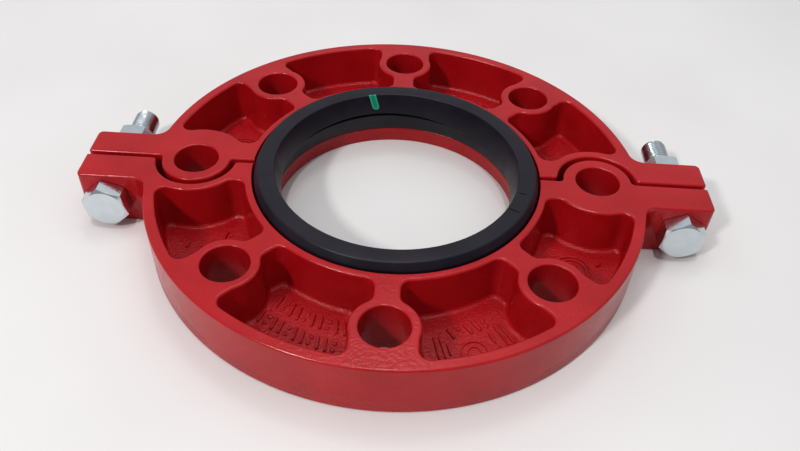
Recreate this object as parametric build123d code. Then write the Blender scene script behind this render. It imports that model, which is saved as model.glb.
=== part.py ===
from build123d import *
import math
import os

# Split flange adapter for grooved steel pipe, DN100 / 4 in, drilled to PN16.
# Millimetres. Origin: centre of the flange at its flat back face, z = 0.
# +Z points to the gasket side, X runs through the two split-line holes,
# the front half lies at -Y and the rear half at +Y.

# Flange body
FLANGE_RADIUS = 110.0
FLANGE_HEIGHT = 25.4
SPLIT_GAP = 2.0

# Flange bolt holes
BOLT_CIRCLE_RADIUS = 90.0
FLANGE_HOLE_RADIUS = 9.5
HOLE_PITCH_DEG = 45.0

# Lobe that carries a split-line hole, and its recess in the other half
LOBE_RADIUS = 15.3
RECESS_RADIUS = 17.7
LOBE_ROOT_ROUND = 2.0

# Cast pockets, open at the gasket side
POCKET_FLOOR = 4.0
POCKET_INNER_RADIUS = 67.3
POCKET_OUTER_RADIUS = 105.0
POCKET_CORNER = 4.0
POCKET_FOOT_ROUND = 2.2
POCKET_DRAFT_DEG = 2.0
BOSS_RADIUS = 13.8
BOSS_INNER_WEB = 10.6
BOSS_OUTER_WEB = 26.0
SPLIT_BOSS_RADIUS = 22.0
SPLIT_INNER_BAND = 27.0
SPLIT_OUTER_BAND = 41.6

# Bore: the key that sits in the pipe's groove, and the gasket seat above it
KEY_RADIUS = 55.5
KEY_HEIGHT = 8.0
KEY_CHAMFER = 0.8
SEAT_RADIUS = 64.2

# Ears for the two draw bolts
EAR_END = 139.0
EAR_DEPTH = 16.0
EAR_CORNER = 2.0
EAR_ROOT_ROUND = 6.0

# Draw bolts and nuts, M12
DRAW_BOLT_X = 126.5
DRAW_BOLT_Z = FLANGE_HEIGHT / 2
DRAW_HOLE_RADIUS = 7.0
HEX_ACROSS_FLATS = 18.0
HEAD_HEIGHT = 7.5
BOLT_LENGTH = 60.0
BOLT_RADIUS = 5.92
BOLT_TIP_CHAMFER = 1.2
NUT_HEIGHT = 10.8
NUT_BORE_RADIUS = 6.0
LEFT_HEAD_TURN_DEG = 41.0
RIGHT_HEAD_TURN_DEG = 26.0
NUT_TURN_DEG = 0.0
HEX_CHAMFER_DEG = 30.0
HEX_CHAMFER_REACH = 2.2

# Gasket section, radii and heights of its outline
GASKET_FOOT = KEY_HEIGHT
GASKET_TOP = 29.0
GASKET_SEAT_RADIUS = 63.7
GASKET_SHOULDER_RADIUS = 63.2
GASKET_RIM_RADIUS = 61.4
GASKET_LIP_ROOT_RADIUS = 54.2
GASKET_LIP_EDGE_RADIUS = 52.0
GASKET_SHOULDER_FOOT = 22.4
GASKET_SLIT_TOP = 19.2
GASKET_SLIT_FOOT = 17.8
GASKET_LOWER_EDGE_RADIUS = 52.6
GASKET_LOWER_ROOT_RADIUS = 55.2
GASKET_SLIT_NECK = 1.0
GASKET_CAVITY_CENTRE = (59.3, 18.5)
GASKET_CAVITY_RADIUS = 2.0
GASKET_ROUND = 0.5

# Modelling aids: how far a cutter passes a face, and how near counts as the same place
CLEAR = 5.0
NEAR = 0.1


def at_angle(angle_deg):
    """Place on the bolt circle, turned so that local X points outwards."""
    return Rot(0, 0, angle_deg) * Pos(BOLT_CIRCLE_RADIUS, 0, 0)


def below_split():
    """Region that the front half fills, up to its split face."""
    reach = 2 * EAR_END
    return Pos(0, -SPLIT_GAP / 2 - reach / 2) * Rectangle(2 * reach, reach)


def half_outline():
    """Plan of the front half: half disc, two ears, one lobe, one recess."""
    ear_bar = Pos(0, -EAR_DEPTH / 2) * Rectangle(2 * EAR_END, EAR_DEPTH)
    plan = (Circle(FLANGE_RADIUS) + ear_bar) & below_split()
    roots = plan.vertices().filter_by(
        lambda v: abs(v.Y + EAR_DEPTH) < NEAR and abs(v.X) < FLANGE_RADIUS + NEAR)
    plan = fillet(roots, EAR_ROOT_ROUND)
    corners = plan.vertices().filter_by(lambda v: abs(v.X) > EAR_END - NEAR)
    plan = fillet(corners, EAR_CORNER)
    plan -= Pos(-BOLT_CIRCLE_RADIUS, 0) * Circle(RECESS_RADIUS)
    plan += Pos(BOLT_CIRCLE_RADIUS, 0) * Circle(LOBE_RADIUS)
    lobe_roots = plan.vertices().filter_by(
        lambda v: abs(v.Y + SPLIT_GAP / 2) < NEAR and abs(v.X) < FLANGE_RADIUS)
    return fillet(lobe_roots, LOBE_ROOT_ROUND)


def boss_plan(angle_deg):
    """Metal left round one flange hole: a disc webbed to both pocket walls."""
    inner_length = BOLT_CIRCLE_RADIUS - POCKET_INNER_RADIUS + POCKET_CORNER
    outer_length = POCKET_OUTER_RADIUS - BOLT_CIRCLE_RADIUS + POCKET_CORNER
    inner_web = Pos(-inner_length / 2, 0) * Rectangle(inner_length, BOSS_INNER_WEB)
    outer_web = Pos(outer_length / 2, 0) * Rectangle(outer_length, BOSS_OUTER_WEB)
    return at_angle(angle_deg) * (Circle(BOSS_RADIUS) + inner_web + outer_web)


def split_boss_plan(side):
    """Metal left beside a split-line hole: a disc and two bands of the wall."""
    reach = FLANGE_RADIUS
    inner_band = Rectangle(BOLT_CIRCLE_RADIUS, SPLIT_INNER_BAND, align=(Align.MIN, Align.CENTER))
    outer_band = Pos(BOLT_CIRCLE_RADIUS, 0) * Rectangle(
        reach, SPLIT_OUTER_BAND, align=(Align.MIN, Align.CENTER))
    disc = Pos(BOLT_CIRCLE_RADIUS, 0) * Circle(SPLIT_BOSS_RADIUS)
    turn = 0 if side > 0 else 180
    return Rot(0, 0, turn) * (disc + inner_band + outer_band)


def pocket_plan():
    """Plan of the four pockets of the front half, with round corners."""
    plan = (Circle(POCKET_OUTER_RADIUS) - Circle(POCKET_INNER_RADIUS)) & below_split()
    plan -= split_boss_plan(1)
    plan -= split_boss_plan(-1)
    for step in (1, 2, 3):
        plan -= boss_plan(-HOLE_PITCH_DEG * step)
    shrunk = offset(plan, -POCKET_CORNER, kind=Kind.INTERSECTION)
    return offset(shrunk, POCKET_CORNER, kind=Kind.ARC)


def pocket_cutters():
    """One tapered cutter per pocket, with a rounded foot."""
    depth = FLANGE_HEIGHT - POCKET_FLOOR
    cutters = []
    for face in pocket_plan().faces():
        cutter = extrude(Pos(0, 0, FLANGE_HEIGHT) * face, -depth, dir=(0, 0, 1), taper=POCKET_DRAFT_DEG)
        foot = cutter.edges().group_by(Axis.Z)[0]
        cutters.append(fillet(foot, POCKET_FOOT_ROUND))
    return cutters


def bore_cutter():
    """Round opening: the key's bore with chamfered edges, then the gasket seat."""
    key = Cylinder(KEY_RADIUS, KEY_HEIGHT, align=(Align.CENTER, Align.CENTER, Align.MIN))
    key_mouth = Cone(KEY_RADIUS + KEY_CHAMFER, KEY_RADIUS, KEY_CHAMFER,
                     align=(Align.CENTER, Align.CENTER, Align.MIN))
    seat_height = FLANGE_HEIGHT - KEY_HEIGHT + CLEAR
    seat = Cylinder(SEAT_RADIUS, seat_height, align=(Align.CENTER, Align.CENTER, Align.MIN))
    return key + key_mouth + Pos(0, 0, KEY_HEIGHT) * seat


def flange_holes():
    """Cutters for the four flange holes that the front half carries."""
    hole = Cylinder(FLANGE_HOLE_RADIUS, 2 * (FLANGE_HEIGHT + CLEAR))
    return [at_angle(-HOLE_PITCH_DEG * step) * hole for step in range(4)]


def draw_bolt_place(side):
    """Where a draw bolt's axis crosses the split, with local Z along +Y."""
    return Pos(side * DRAW_BOLT_X, 0, DRAW_BOLT_Z) * Rot(-90, 0, 0)


def casting_half():
    """One casting, in the place of the front half."""
    body = extrude(half_outline(), FLANGE_HEIGHT)
    for cutter in pocket_cutters():
        body -= cutter
    body -= bore_cutter()
    for cutter in flange_holes():
        body -= cutter
    for side in (-1, 1):
        body -= draw_bolt_place(side) * Cylinder(DRAW_HOLE_RADIUS, 2 * (EAR_DEPTH + CLEAR))
    return body


def gasket():
    """Rubber ring of C section: two lips with a pressure cavity between them."""
    cavity_r, cavity_z = GASKET_CAVITY_CENTRE
    mouth_mid = (GASKET_SLIT_TOP + GASKET_SLIT_FOOT) / 2
    section = Polygon(
        (GASKET_LOWER_EDGE_RADIUS, GASKET_SLIT_FOOT),
        (GASKET_LOWER_ROOT_RADIUS, GASKET_FOOT),
        (GASKET_SEAT_RADIUS, GASKET_FOOT),
        (GASKET_SEAT_RADIUS, GASKET_SHOULDER_FOOT),
        (GASKET_SHOULDER_RADIUS, FLANGE_HEIGHT),
        (GASKET_RIM_RADIUS, GASKET_TOP),
        (GASKET_LIP_ROOT_RADIUS, GASKET_TOP),
        (GASKET_LIP_EDGE_RADIUS, GASKET_SLIT_TOP),
        align=None)
    rims = section.vertices().filter_by(lambda v: v.Y > GASKET_TOP - NEAR)
    section = fillet(rims, GASKET_ROUND)
    slit = Polygon(
        (GASKET_LIP_EDGE_RADIUS - CLEAR, GASKET_SLIT_FOOT),
        (GASKET_LOWER_EDGE_RADIUS, GASKET_SLIT_FOOT),
        (cavity_r, mouth_mid - GASKET_SLIT_NECK / 2),
        (cavity_r, mouth_mid + GASKET_SLIT_NECK / 2),
        (GASKET_LIP_EDGE_RADIUS, GASKET_SLIT_TOP),
        (GASKET_LIP_EDGE_RADIUS - CLEAR, GASKET_SLIT_TOP),
        align=None)
    section -= slit
    section -= Pos(cavity_r, cavity_z) * Circle(GASKET_CAVITY_RADIUS)
    return revolve(Plane.XZ * section, Axis.Z, 360)


def hexagon_prism(height, turn_deg):
    """Hexagon of the M12 size, its outer end chamfered to a circle."""
    corner_radius = HEX_ACROSS_FLATS / math.sqrt(3)
    prism = extrude(Rot(0, 0, turn_deg) * RegularPolygon(corner_radius, 6), height)
    drop = HEX_CHAMFER_REACH * math.tan(math.radians(HEX_CHAMFER_DEG))
    barrel = Cylinder(corner_radius + NEAR, height, align=(Align.CENTER, Align.CENTER, Align.MIN))
    top_rim = barrel.edges().group_by(Axis.Z)[-1]
    return prism & chamfer(top_rim, drop, HEX_CHAMFER_REACH)


def draw_bolt(side, turn_deg):
    """Hexagon bolt, head on the front ear, shank along +Y."""
    head = Rot(180, 0, 0) * hexagon_prism(HEAD_HEIGHT, turn_deg)
    shank = Cylinder(BOLT_RADIUS, BOLT_LENGTH, align=(Align.CENTER, Align.CENTER, Align.MIN))
    shank = chamfer(shank.edges().group_by(Axis.Z)[-1], BOLT_TIP_CHAMFER)
    return draw_bolt_place(side) * Pos(0, 0, -EAR_DEPTH) * (head + shank)


def draw_nut(side):
    """Hexagon nut, seated on the rear ear."""
    nut = hexagon_prism(NUT_HEIGHT, NUT_TURN_DEG)
    nut -= Cylinder(NUT_BORE_RADIUS, 2 * (NUT_HEIGHT + CLEAR))
    return draw_bolt_place(side) * Pos(0, 0, EAR_DEPTH) * nut


front_half = casting_half()
PARTS = {
    "front_half": front_half,
    "rear_half": Rot(0, 0, 180) * front_half,
    "gasket": gasket(),
    "left_bolt": draw_bolt(-1, LEFT_HEAD_TURN_DEG),
    "right_bolt": draw_bolt(1, RIGHT_HEAD_TURN_DEG),
    "left_nut": draw_nut(-1),
    "right_nut": draw_nut(1),
}

os.makedirs("parts", exist_ok=True)
for name, shape in PARTS.items():
    export_step(shape, f"parts/{name}.step")
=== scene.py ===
"""Looks of a split flange adapter for grooved pipe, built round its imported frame.

The adapter is two enamelled iron halves, a rubber gasket, and two zinc-plated draw bolts
with their nuts. Sizes below are in millimetres unless a name says otherwise, and the
meshes are in metres, in the frame's own axes: +Z towards the gasket side, +X through the
split-line holes, +Y from the bolt heads to the nuts.
"""

import logging
import math
from dataclasses import dataclass, field
from enum import Enum

import bmesh
import bpy
from mathutils import Matrix, Vector


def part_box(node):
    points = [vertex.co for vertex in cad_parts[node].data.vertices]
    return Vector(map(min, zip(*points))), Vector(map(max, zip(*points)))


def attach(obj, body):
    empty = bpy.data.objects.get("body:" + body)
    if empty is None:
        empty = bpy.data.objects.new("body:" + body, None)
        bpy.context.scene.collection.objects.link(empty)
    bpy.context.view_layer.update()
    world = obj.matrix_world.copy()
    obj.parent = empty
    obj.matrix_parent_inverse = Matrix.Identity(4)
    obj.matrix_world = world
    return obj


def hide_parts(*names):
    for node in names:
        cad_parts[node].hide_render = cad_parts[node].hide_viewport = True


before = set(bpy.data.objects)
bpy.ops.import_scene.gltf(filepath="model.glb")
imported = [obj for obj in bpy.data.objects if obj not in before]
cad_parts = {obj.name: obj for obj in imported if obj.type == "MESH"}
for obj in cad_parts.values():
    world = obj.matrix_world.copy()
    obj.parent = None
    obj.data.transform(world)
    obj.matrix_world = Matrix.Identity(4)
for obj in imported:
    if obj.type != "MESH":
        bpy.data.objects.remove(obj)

LOG = logging.getLogger("flange_adapter")
MM = 0.001
FULL_TURN = 2 * math.pi
ARC_STEP = math.radians(14)
HEAD_TURNS_DEG = {"left": 41.0, "right": 26.0}


# ---------------------------------------------------------------- small helpers


class Cut(Enum):
    """The ways in which one closed mesh changes another."""

    TAKE_AWAY = "DIFFERENCE"
    ADD = "UNION"
    KEEP_COMMON = "INTERSECT"


def polar(radius: float, angle_deg: float) -> Vector:
    """Point in the plane at a radius and an angle from +X."""
    angle = math.radians(angle_deg)
    return Vector((radius * math.cos(angle), radius * math.sin(angle)))


def deselect_everything() -> None:
    """Leave nothing selected, so that the next operator acts on its own piece only."""
    if bpy.context.object and bpy.context.object.mode != "OBJECT":
        bpy.ops.object.mode_set(mode="OBJECT")
    bpy.ops.object.select_all(action="DESELECT")


def activate(piece: bpy.types.Object) -> None:
    """Select one piece alone and make it the active one."""
    deselect_everything()
    piece.select_set(True)
    bpy.context.view_layer.objects.active = piece


def place_in_mesh(piece: bpy.types.Object) -> None:
    """Move a piece's placement into its mesh, so that its object sits at the origin."""
    activate(piece)
    bpy.ops.object.transform_apply(location=True, rotation=True, scale=True)


def merge_and_face_out(piece: bpy.types.Object, distance_mm: float = 0.002) -> None:
    """Merge doubled vertices and turn every face outwards.

    Args:
        piece: The mesh to clean.
        distance_mm: How near two vertices have to be to become one.
    """
    activate(piece)
    bpy.ops.object.mode_set(mode="EDIT")
    bpy.ops.mesh.select_all(action="SELECT")
    bpy.ops.mesh.remove_doubles(threshold=distance_mm * MM)
    bpy.ops.mesh.normals_make_consistent(inside=False)
    bpy.ops.object.mode_set(mode="OBJECT")


def boolean(body: bpy.types.Object, tool: bpy.types.Object, cut: Cut) -> None:
    """Apply a boolean to a body and remove the tool that made it.

    Args:
        body: The piece that is changed.
        tool: The closed mesh that it is cut, joined or intersected with.
        cut: What is done with the tool.
    """
    activate(body)
    modifier = body.modifiers.new("boolean", "BOOLEAN")
    modifier.operation = cut.value
    modifier.solver = "EXACT"
    modifier.object = tool
    bpy.ops.object.modifier_apply(modifier=modifier.name)
    bpy.data.objects.remove(tool, do_unlink=True)


def smooth_by_angle(piece: bpy.types.Object, angle_deg: float) -> None:
    """Shade smooth across soft edges, and weight the normals so that flat faces stay flat.

    Args:
        piece: The mesh to shade.
        angle_deg: Edges sharper than this stay sharp.
    """
    activate(piece)
    bpy.ops.object.shade_smooth_by_angle(angle=math.radians(angle_deg))
    modifier = piece.modifiers.new("flat faces first", "WEIGHTED_NORMAL")
    modifier.mode = "FACE_AREA"
    modifier.weight = 100
    modifier.keep_sharp = True
    bpy.ops.object.modifier_apply(modifier=modifier.name)


# ---------------------------------------------------------------- outlines


@dataclass(frozen=True)
class Wall:
    """One straight or round stretch of an outline, walked with the material on its left.

    A line has a point and a heading. An arc has a centre, a radius and a turn: +1 where
    it is walked anticlockwise, with the material inside its circle, -1 where it is walked
    clockwise, with the material outside.
    """

    point: Vector
    heading_deg: float = 0.0
    radius: float = 0.0
    turn: int = 1

    @property
    def is_line(self) -> bool:
        """Whether this stretch is straight."""
        return self.radius == 0.0

    def moved_left(self, distance: float) -> "Wall":
        """The same stretch, offset into the material on its left.

        Args:
            distance: How far it is moved, in millimetres.

        Returns:
            The moved stretch.
        """
        if self.is_line:
            left = polar(1.0, self.heading_deg + 90)
            return Wall(self.point + left * distance, self.heading_deg)
        return Wall(self.point, 0.0, self.radius - self.turn * distance, self.turn)

    def nearest(self, spot: Vector) -> Vector:
        """The point of this stretch that is nearest to a spot.

        Args:
            spot: The place to start from.

        Returns:
            The nearest point, on the endless line or on the whole circle.
        """
        if self.is_line:
            along = polar(1.0, self.heading_deg)
            return self.point + along * (spot - self.point).dot(along)
        return self.point + (spot - self.point).normalized() * self.radius

    def crossing(self, other: "Wall", near: Vector) -> Vector:
        """Where this stretch crosses another.

        Args:
            other: The stretch that is crossed.
            near: A spot near the crossing that is wanted.

        Returns:
            The crossing nearest to that spot.
        """
        if self.is_line and other.is_line:
            one, two = polar(1.0, self.heading_deg), polar(1.0, other.heading_deg)
            gap = other.point - self.point
            step = (gap.x * two.y - gap.y * two.x) / (one.x * two.y - one.y * two.x)
            return self.point + one * step
        if other.is_line:
            return other.crossing(self, near)
        if self.is_line:
            along = polar(1.0, self.heading_deg)
            foot = self.nearest(other.point)
            reach = math.sqrt(max(other.radius ** 2 - (foot - other.point).length_squared, 0.0))
            spots = [foot + along * reach, foot - along * reach]
        else:
            line = other.point - self.point
            span = line.length
            along = line / span
            share = (span ** 2 + self.radius ** 2 - other.radius ** 2) / (2 * span)
            reach = math.sqrt(max(self.radius ** 2 - share ** 2, 0.0))
            side = Vector((-along.y, along.x))
            spots = [self.point + along * share + side * sign * reach for sign in (1, -1)]
        return min(spots, key=lambda spot: (spot - near).length)

    def walk(self, start: Vector, end: Vector, steps: int) -> list[Vector]:
        """Points along this stretch from start up to, but without, end.

        Args:
            start: Its first point.
            end: Its last point, which the next stretch begins with.
            steps: How many steps it has.

        Returns:
            The points in order.
        """
        if self.is_line:
            return [start.lerp(end, i / steps) for i in range(steps)]
        return arc_points(self.point, start, end, self.turn, steps)

    def steps_between(self, start: Vector, end: Vector, longest: float) -> int:
        """How many steps keep this stretch round.

        Args:
            start: Its first point.
            end: Its last point.
            longest: The longest step on a round stretch, in millimetres.

        Returns:
            The number of steps.
        """
        if self.is_line:
            return max(1, math.ceil((end - start).length / (6 * longest)))
        swept = swept_angle(self.point, start, end, self.turn)
        return max(2, math.ceil(swept * self.radius / longest), math.ceil(swept / ARC_STEP))


def swept_angle(centre: Vector, start: Vector, end: Vector, turn: int) -> float:
    """Angle walked about a centre.

    Args:
        centre: The centre of the arc.
        start: Its first point.
        end: Its last point.
        turn: +1 anticlockwise, -1 clockwise.

    Returns:
        The angle in radians, from 0 up to a full turn.
    """
    first = math.atan2(start.y - centre.y, start.x - centre.x)
    last = math.atan2(end.y - centre.y, end.x - centre.x)
    return (turn * (last - first)) % FULL_TURN


def arc_points(centre: Vector, start: Vector, end: Vector, turn: int, steps: int) -> list[Vector]:
    """Evenly spaced points on an arc, without its end point.

    Args:
        centre: The centre of the arc.
        start: Its first point.
        end: Its last point.
        turn: +1 anticlockwise, -1 clockwise.
        steps: How many steps it has.

    Returns:
        The points in order.
    """
    swept = swept_angle(centre, start, end, turn)
    arm = start - centre
    points = []
    for i in range(steps):
        angle = turn * swept * i / steps
        cos, sin = math.cos(angle), math.sin(angle)
        points.append(centre + Vector((arm.x * cos - arm.y * sin, arm.x * sin + arm.y * cos)))
    return points


@dataclass(frozen=True)
class Corner:
    """The rounding between a stretch and the next one.

    Attributes:
        near: A spot near the sharp corner.
        radius: Radius of the rounding.
        outward: True for a corner that points out of the material.
    """

    near: Vector
    radius: float
    outward: bool = True

    @property
    def side(self) -> int:
        """+1 where the rounding's centre lies in the material, -1 where outside it."""
        return 1 if self.outward else -1


@dataclass
class Outline:
    """A closed outline of stretches with rounded corners, offset without error.

    Attributes:
        walls: The stretches, in the order that they are walked, material on the left.
        corners: The corner after each stretch.
        longest: The longest step along a round stretch, in millimetres.
    """

    walls: list[Wall]
    corners: list[Corner]
    longest: float = 1.6

    def _tangents(self, inset: float) -> list[tuple[Vector, Vector, Vector]]:
        """Centre, first and last point of every corner's rounding.

        Args:
            inset: How far the outline is moved into the material.

        Returns:
            One centre, first point and last point for each corner.
        """
        found = []
        for i, corner in enumerate(self.corners):
            shift = corner.side * corner.radius
            one, two = self.walls[i], self.walls[(i + 1) % len(self.walls)]
            centre = one.moved_left(shift).crossing(two.moved_left(shift), corner.near)
            one, two = one.moved_left(inset), two.moved_left(inset)
            found.append((centre, one.nearest(centre), two.nearest(centre)))
        return found

    def ring(self, inset: float = 0.0) -> list[Vector]:
        """Points of the outline, moved into the material by an inset.

        Args:
            inset: Distance in millimetres; below zero the outline grows.

        Returns:
            The points, always the same number and in the same order.
        """
        base, moved = self._tangents(0.0), self._tangents(inset)
        points = []
        for i, wall in enumerate(self.walls):
            steps = wall.steps_between(base[i - 1][2], base[i][1], self.longest)
            points += wall.moved_left(inset).walk(moved[i - 1][2], moved[i][1], steps)
            centre, first, last = base[i]
            side = self.corners[i].side
            swept = swept_angle(centre, first, last, side)
            steps = max(2, math.ceil(swept / ARC_STEP))
            points += arc_points(centre, moved[i][1], moved[i][2], side, steps)
        return points


@dataclass(frozen=True)
class Level:
    """One ring of a prism: how far it is drawn in, and its height, in millimetres."""

    inset: float
    height: float


def rounded_rim(radius: float, edge_height: float, upwards: bool, steps: int = 4) -> list[Level]:
    """Levels of a quarter round between an upright wall and a flat face.

    Args:
        radius: Radius of the quarter round.
        edge_height: Height of the flat face.
        upwards: True for a top face, where the wall comes first.
        steps: How many faces make the round.

    Returns:
        The levels from the lower to the higher.
    """
    levels = []
    for i in range(steps + 1):
        angle = math.pi / 2 * i / steps
        inset = radius * (1 - math.cos(angle))
        rise = radius * (1 - math.sin(angle))
        levels.append(Level(inset, edge_height - rise if upwards else edge_height + rise))
    return levels if upwards else levels[::-1]


def stacked(name: str, rings: list[list[Vector]]) -> bpy.types.Object:
    """A closed body that is extruded through a stack of rings.

    Args:
        name: Name of the new piece.
        rings: Its rings from the bottom up, all with the same number of points, in millimetres.

    Returns:
        The new piece, at the origin, in metres.
    """
    deselect_everything()
    bpy.ops.mesh.primitive_circle_add(vertices=len(rings[0]), radius=1.0, fill_type="NGON")
    piece = bpy.context.object
    piece.name = name
    bpy.ops.object.mode_set(mode="EDIT")
    mesh = bmesh.from_edit_mesh(piece.data)
    station = mesh.verts.layers.int.new("station")
    for i, vertex in enumerate(mesh.verts):
        vertex[station] = i
    for i, ring in enumerate(rings):
        if i:
            bpy.ops.mesh.extrude_region_move()
            mesh = bmesh.from_edit_mesh(piece.data)
            station = mesh.verts.layers.int["station"]
        for vertex in mesh.verts:
            if vertex.select:
                vertex.co = ring[vertex[station]] * MM
        bmesh.update_edit_mesh(piece.data)
    bpy.ops.mesh.select_all(action="SELECT")
    bpy.ops.mesh.normals_make_consistent(inside=False)
    bpy.ops.object.mode_set(mode="OBJECT")
    return piece


def extruded(name: str, outline: Outline, levels: list[Level]) -> bpy.types.Object:
    """A closed prism that follows an outline, one ring for each level.

    Args:
        name: Name of the new piece.
        outline: The outline to follow.
        levels: Its rings from the bottom up.

    Returns:
        The new piece, at the origin, in metres.
    """
    return stacked(name, [[Vector((spot.x, spot.y, level.height)) for spot in outline.ring(level.inset)]
                          for level in levels])


def spun(name: str, section: list[tuple[float, float]], steps: int) -> bpy.types.Object:
    """A closed body of revolution about the Z axis.

    Args:
        name: Name of the new piece.
        section: Its section as (radius, height) points in millimetres. A section that
            touches the axis starts and ends there, and any other is closed.
        steps: How many steps make the full turn.

    Returns:
        The new piece, at the origin, in metres.
    """
    deselect_everything()
    bpy.ops.mesh.primitive_circle_add(vertices=len(section), radius=1.0, fill_type="NOTHING")
    piece = bpy.context.object
    piece.name = name
    bpy.ops.object.mode_set(mode="EDIT")
    mesh = bmesh.from_edit_mesh(piece.data)
    mesh.verts.ensure_lookup_table()
    for vertex, (radius, height) in zip(mesh.verts, section):
        vertex.co = Vector((radius, 0.0, height)) * MM
    on_axis = [edge for edge in mesh.edges if all(abs(v.co.x) < 1e-9 for v in edge.verts)]
    bmesh.ops.delete(mesh, geom=on_axis, context="EDGES_FACES")
    bmesh.update_edit_mesh(piece.data)
    bpy.ops.mesh.select_all(action="SELECT")
    bpy.ops.mesh.spin(steps=steps, angle=FULL_TURN, center=(0, 0, 0), axis=(0, 0, 1))
    bpy.ops.mesh.select_all(action="SELECT")
    bpy.ops.mesh.remove_doubles(threshold=0.001 * MM)
    bpy.ops.mesh.normals_make_consistent(inside=False)
    bpy.ops.object.mode_set(mode="OBJECT")
    return piece


def rounded_section(points: list[tuple[float, float, float]], steps: int = 5) -> list[tuple[float, float]]:
    """Round the corners of a closed section.

    Args:
        points: The corners as (radius, height, rounding) in millimetres, each rounding above 0.
        steps: How many steps make each rounding.

    Returns:
        The rounded section as (radius, height) points.
    """
    smooth = []
    for i, (x, y, rounding) in enumerate(points):
        here = Vector((x, y))
        before = (Vector(points[i - 1][:2]) - here).normalized()
        after = (Vector(points[(i + 1) % len(points)][:2]) - here).normalized()
        half = before.angle(after) / 2
        reach = rounding / math.tan(half)
        centre = here + (before + after).normalized() * rounding / math.sin(half)
        start, end = here + before * reach - centre, here + after * reach - centre
        for k in range(steps + 1):
            spot = start.slerp(end, k / steps).normalized() * rounding if k else start
            smooth.append(tuple(centre + spot))
    return smooth


# ---------------------------------------------------------------- finishes


class NodeBoard:
    """A node tree with short calls for the nodes that the finishes share."""

    def __init__(self, name: str) -> None:
        """Start a material with only its shader and its output."""
        self.material = bpy.data.materials.new(name)
        self.material.use_nodes = True
        self.tree = self.material.node_tree
        self.shader = self.tree.nodes["Principled BSDF"]
        place = self.tree.nodes.new("ShaderNodeTexCoord")
        self.place = place.outputs["Object"]

    def add(self, kind: str, **settings: object) -> bpy.types.Node:
        """Add a node.

        Args:
            kind: The node's type.
            settings: Its properties and inputs by name.

        Returns:
            The new node.
        """
        node = self.tree.nodes.new(kind)
        for key, value in settings.items():
            if hasattr(node, key):
                setattr(node, key, value)
            else:
                node.inputs[key.replace("_", " ").title()].default_value = value
        return node

    def link(self, source: bpy.types.NodeSocket, target: bpy.types.NodeSocket) -> None:
        """Join an output to an input."""
        self.tree.links.new(source, target)

    def noise(self, scale: float, detail: float = 3.0, roughness: float = 0.5) -> bpy.types.NodeSocket:
        """Noise on the piece's own coordinates.

        Args:
            scale: Its scale in cycles per metre.
            detail: How many finer layers it has.
            roughness: How strong the finer layers are.

        Returns:
            The noise, about 0.5 on average.
        """
        node = self.add("ShaderNodeTexNoise", Scale=scale, Detail=detail, Roughness=roughness)
        self.link(self.place, node.inputs["Vector"])
        return node.outputs["Fac"]

    def math(self, operation: str, *values: object) -> bpy.types.NodeSocket:
        """A math node.

        Args:
            operation: What it works out.
            values: Its sockets or plain numbers, in order.

        Returns:
            Its result.
        """
        node = self.tree.nodes.new("ShaderNodeMath")
        node.operation = operation
        for socket, value in zip(node.inputs, values):
            if isinstance(value, bpy.types.NodeSocket):
                self.link(value, socket)
            else:
                socket.default_value = value
        return node.outputs[0]

    def ramp(self, source: bpy.types.NodeSocket, low: float, high: float,
             start: float = 0.0, end: float = 1.0) -> bpy.types.NodeSocket:
        """Stretch a range of one value over another range, and hold it there.

        Args:
            source: The value to stretch.
            low: Where the source's range begins.
            high: Where it ends.
            start: The result at low.
            end: The result at high.

        Returns:
            The stretched value.
        """
        node = self.tree.nodes.new("ShaderNodeMapRange")
        node.clamp = True
        for socket, value in zip(list(node.inputs)[1:5], (low, high, start, end)):
            socket.default_value = value
        self.link(source, node.inputs["Value"])
        return node.outputs["Result"]

    def blend(self, share: bpy.types.NodeSocket, one: object, two: object) -> bpy.types.NodeSocket:
        """Mix two colours.

        Args:
            share: 0 for the first colour and 1 for the second.
            one: The first colour, as a socket or as red, green and blue.
            two: The second.

        Returns:
            The mixed colour.
        """
        node = self.tree.nodes.new("ShaderNodeMix")
        node.data_type = "RGBA"
        self.link(share, node.inputs["Factor"])
        for socket, value in ((node.inputs[6], one), (node.inputs[7], two)):
            if isinstance(value, bpy.types.NodeSocket):
                self.link(value, socket)
            else:
                socket.default_value = (*value, 1.0)
        return node.outputs[2]

    def axes(self) -> list[bpy.types.NodeSocket]:
        """The piece's own X, Y and Z as three values."""
        node = self.tree.nodes.new("ShaderNodeSeparateXYZ")
        self.link(self.place, node.inputs[0])
        return list(node.outputs)

    def bump(self, height: bpy.types.NodeSocket, depth_mm: float, strength: object,
             under: bpy.types.NodeSocket | None = None) -> bpy.types.NodeSocket:
        """A bump of a real depth.

        Args:
            height: The pattern, from 0 to 1.
            depth_mm: Its depth in millimetres.
            strength: How much of it shows, as a socket or a number.
            under: Another bump that it is laid over.

        Returns:
            The bumped normal.
        """
        node = self.tree.nodes.new("ShaderNodeBump")
        node.inputs["Distance"].default_value = depth_mm * MM
        if isinstance(strength, bpy.types.NodeSocket):
            self.link(strength, node.inputs["Strength"])
        else:
            node.inputs["Strength"].default_value = strength
        self.link(height, node.inputs["Height"])
        if under is not None:
            self.link(under, node.inputs["Normal"])
        return node.outputs["Normal"]


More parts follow.
